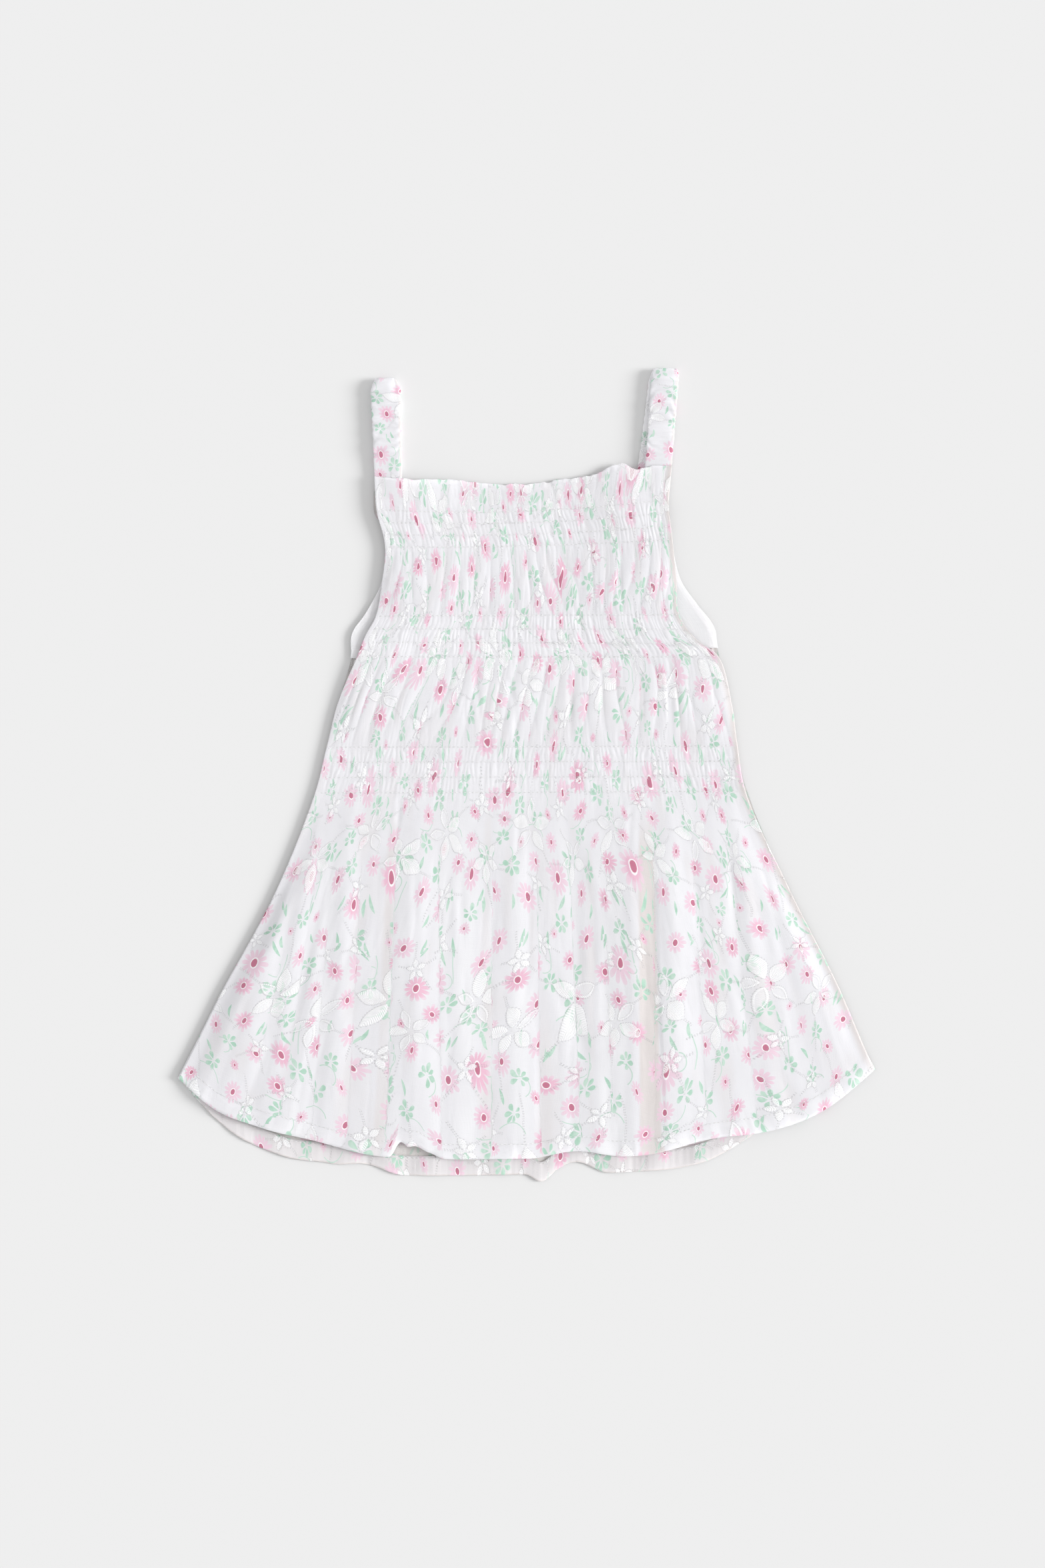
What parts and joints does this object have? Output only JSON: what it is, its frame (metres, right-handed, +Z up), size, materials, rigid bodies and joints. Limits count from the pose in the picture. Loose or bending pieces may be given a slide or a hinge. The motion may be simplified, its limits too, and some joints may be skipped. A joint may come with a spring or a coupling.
{
  "type": "smocked toddler's sundress laid flat",
  "caption": "Sleeveless smocked sundress with a frilled neck edge, bands of elastic shirring, a flared skirt and ruched shoulder straps, laid flat with its front up.",
  "frame": {"origin": "the middle of the dress's outline, on the surface that it lies on", "axes": "+Y along the dress towards its straps, +X across it to the right as seen from above, +Z up from the surface"},
  "size_m": [0.418, 0.4867, 0.0106],
  "materials": {
    "voile": "thin white cotton voile printed with pink daisies and mint leaves and embroidered in white",
    "voile_inside": "the wrong side of the printed voile, with the print showing through",
    "facing": "plain smooth off-white cotton lawn",
    "strap_voile": "printed voile ruched on elastic"
  },
  "bodies": {
    "root": {"front_panel": "voile", "back_panel": "voile_inside", "armhole_facing_left": "facing", "armhole_facing_right": "facing", "strap_left": "strap_voile", "strap_right": "strap_voile"}
  },
  "joints": []
}
